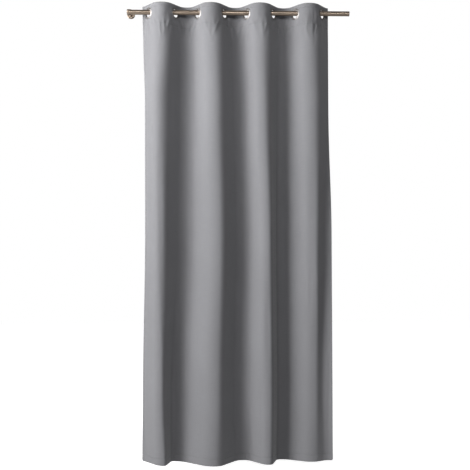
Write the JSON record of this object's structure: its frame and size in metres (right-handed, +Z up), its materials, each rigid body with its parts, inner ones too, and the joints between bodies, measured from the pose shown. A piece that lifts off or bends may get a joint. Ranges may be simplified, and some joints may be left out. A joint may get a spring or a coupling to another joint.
{
  "type": "eyelet curtain panel",
  "caption": "Grey eyelet curtain panel hung in soft vertical folds on a bronze rod with a wall bracket; the folds close up along the rod.",
  "frame": {"origin": "on the rod's axis, at the middle of the panel as it hangs drawn across", "axes": "+X along the rod to the right as seen from the room, +Y towards the wall, +Z up"},
  "size_m": [1.283, 0.1536, 2.6],
  "materials": {
    "grey_cloth": "matt plain weave",
    "buckram": "stiff open weave",
    "white_tape": "satin tape",
    "nickel": "brushed nickel plate",
    "bronze_metal": "satin bronze",
    "dark_steel": "blackened",
    "dark_plastic": "matt"
  },
  "bodies": {
    "rod_and_bracket": {"rod_tube": "bronze_metal", "rod_end_plug": "dark_plastic", "bracket_cup": "bronze_metal", "bracket_arm": "bronze_metal", "wall_plate": "bronze_metal", "set_screw": "dark_steel", "end_screw": "dark_steel"},
    "fold_1": {"fabric_fold_1": "grey_cloth", "heading_stiffener_1": "buckram", "header_turnover_1": "grey_cloth", "bottom_hem_1": "grey_cloth", "eyelet_front_1": "nickel", "eyelet_back_1": "nickel", "side_hem_left": "grey_cloth", "care_label": "white_tape"},
    "fold_2": {"fabric_fold_2": "grey_cloth", "heading_stiffener_2": "buckram", "header_turnover_2": "grey_cloth", "bottom_hem_2": "grey_cloth", "eyelet_front_2": "nickel", "eyelet_back_2": "nickel"},
    "fold_3": {"fabric_fold_3": "grey_cloth", "heading_stiffener_3": "buckram", "header_turnover_3": "grey_cloth", "bottom_hem_3": "grey_cloth", "eyelet_front_3": "nickel", "eyelet_back_3": "nickel"},
    "fold_4": {"fabric_fold_4": "grey_cloth", "heading_stiffener_4": "buckram", "header_turnover_4": "grey_cloth", "bottom_hem_4": "grey_cloth", "eyelet_front_4": "nickel", "eyelet_back_4": "nickel"},
    "fold_5": {"fabric_fold_5": "grey_cloth", "heading_stiffener_5": "buckram", "header_turnover_5": "grey_cloth", "bottom_hem_5": "grey_cloth", "eyelet_front_5": "nickel", "eyelet_back_5": "nickel"},
    "fold_6": {"fabric_fold_6": "grey_cloth", "heading_stiffener_6": "buckram", "header_turnover_6": "grey_cloth", "bottom_hem_6": "grey_cloth", "eyelet_front_6": "nickel", "eyelet_back_6": "nickel"},
    "fold_7": {"fabric_fold_7": "grey_cloth", "heading_stiffener_7": "buckram", "header_turnover_7": "grey_cloth", "bottom_hem_7": "grey_cloth", "eyelet_front_7": "nickel", "eyelet_back_7": "nickel"},
    "fold_8": {"fabric_fold_8": "grey_cloth", "heading_stiffener_8": "buckram", "header_turnover_8": "grey_cloth", "bottom_hem_8": "grey_cloth", "eyelet_front_8": "nickel", "eyelet_back_8": "nickel", "side_hem_right": "grey_cloth"}
  },
  "joints": [
    {"name": "draw", "type": "hinge", "parent": "rod_and_bracket", "child": "fold_1", "pos_m": [-0.4965, 0, 0], "axis": [0, 0, -1], "range_deg": [0, 38]},
    {"name": "crest_1_2", "type": "hinge", "parent": "fold_1", "child": "fold_2", "pos_m": [-0.42, -0.05317, 0], "axis": [0, 0, 1], "range_deg": [0, 76]},
    {"name": "trough_2_3", "type": "hinge", "parent": "fold_2", "child": "fold_3", "pos_m": [-0.28, 0.04686, 0], "axis": [0, 0, -1], "range_deg": [0, 76]},
    {"name": "crest_3_4", "type": "hinge", "parent": "fold_3", "child": "fold_4", "pos_m": [-0.14, -0.05317, 0], "axis": [0, 0, 1], "range_deg": [0, 76]},
    {"name": "trough_4_5", "type": "hinge", "parent": "fold_4", "child": "fold_5", "pos_m": [0, 0.04686, 0], "axis": [0, 0, -1], "range_deg": [0, 76]},
    {"name": "crest_5_6", "type": "hinge", "parent": "fold_5", "child": "fold_6", "pos_m": [0.14, -0.05317, 0], "axis": [0, 0, 1], "range_deg": [0, 76]},
    {"name": "trough_6_7", "type": "hinge", "parent": "fold_6", "child": "fold_7", "pos_m": [0.28, 0.04686, 0], "axis": [0, 0, -1], "range_deg": [0, 76]},
    {"name": "crest_7_8", "type": "hinge", "parent": "fold_7", "child": "fold_8", "pos_m": [0.42, -0.05317, 0], "axis": [0, 0, 1], "range_deg": [0, 76]}
  ],
  "couplings": [
    {"joint": "crest_1_2", "follows": "draw", "ratio": 2},
    {"joint": "trough_2_3", "follows": "draw", "ratio": 2},
    {"joint": "crest_3_4", "follows": "draw", "ratio": 2},
    {"joint": "trough_4_5", "follows": "draw", "ratio": 2},
    {"joint": "crest_5_6", "follows": "draw", "ratio": 2},
    {"joint": "trough_6_7", "follows": "draw", "ratio": 2},
    {"joint": "crest_7_8", "follows": "draw", "ratio": 2}
  ]
}
